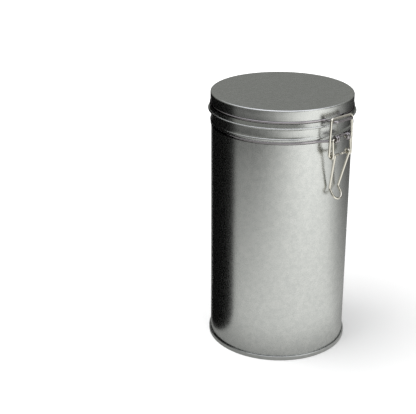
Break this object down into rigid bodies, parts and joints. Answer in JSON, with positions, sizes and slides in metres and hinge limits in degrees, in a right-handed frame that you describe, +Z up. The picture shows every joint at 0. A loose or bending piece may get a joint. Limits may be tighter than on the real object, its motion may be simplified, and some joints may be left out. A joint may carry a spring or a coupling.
{
  "type": "coffee tin",
  "caption": "Tall round tinplate coffee canister with a rolled base seam, a hinged slip lid on a gasket and a sprung wire toggle clasp.",
  "frame": {"origin": "centre of the base, in the plane of the base rim", "axes": "+Z up along the tin's axis; the clasp is at -Y and the hinge at +Y; +X to the right seen from the clasp"},
  "size_m": [0.1036, 0.1178, 0.1864],
  "materials": {
    "tinplate_body": "satin tinplate with a fine matte grain",
    "tinplate_base": "satin tinplate, brighter on the seam",
    "tinplate_lid": "satin tinplate with a fine matte grain",
    "nickel_wire": "bright nickel plated spring wire",
    "silicone": "translucent white silicone",
    "lining_compound": "dull can lining compound"
  },
  "bodies": {
    "canister": {"body_shell": "tinplate_body", "base_plate": "tinplate_base", "seam_compound": "lining_compound", "neck_ring": "nickel_wire"},
    "lid": {"lid_shell": "tinplate_lid", "lid_gasket": "silicone", "lid_ring": "nickel_wire"},
    "lever": {"lever": "nickel_wire"},
    "bail": {"bail": "nickel_wire"}
  },
  "joints": [
    {"name": "lid_hinge", "type": "hinge", "parent": "canister", "child": "lid", "pos_m": [0, 0.05615, 0.171], "axis": [-1, 0, 0], "range_deg": [0, 105]},
    {"name": "lever_pivot", "type": "hinge", "parent": "canister", "child": "lever", "pos_m": [0, -0.056, 0.1655], "axis": [-1, 0, 0], "range_deg": [0, 120]},
    {"name": "bail_pivot", "type": "hinge", "parent": "lever", "child": "bail", "pos_m": [0, -0.0553, 0.154], "axis": [-1, 0, 0], "range_deg": [-150, 0]}
  ],
  "couplings": [
    {"joint": "bail_pivot", "follows": "lever_pivot", "ratio": -1.25}
  ]
}
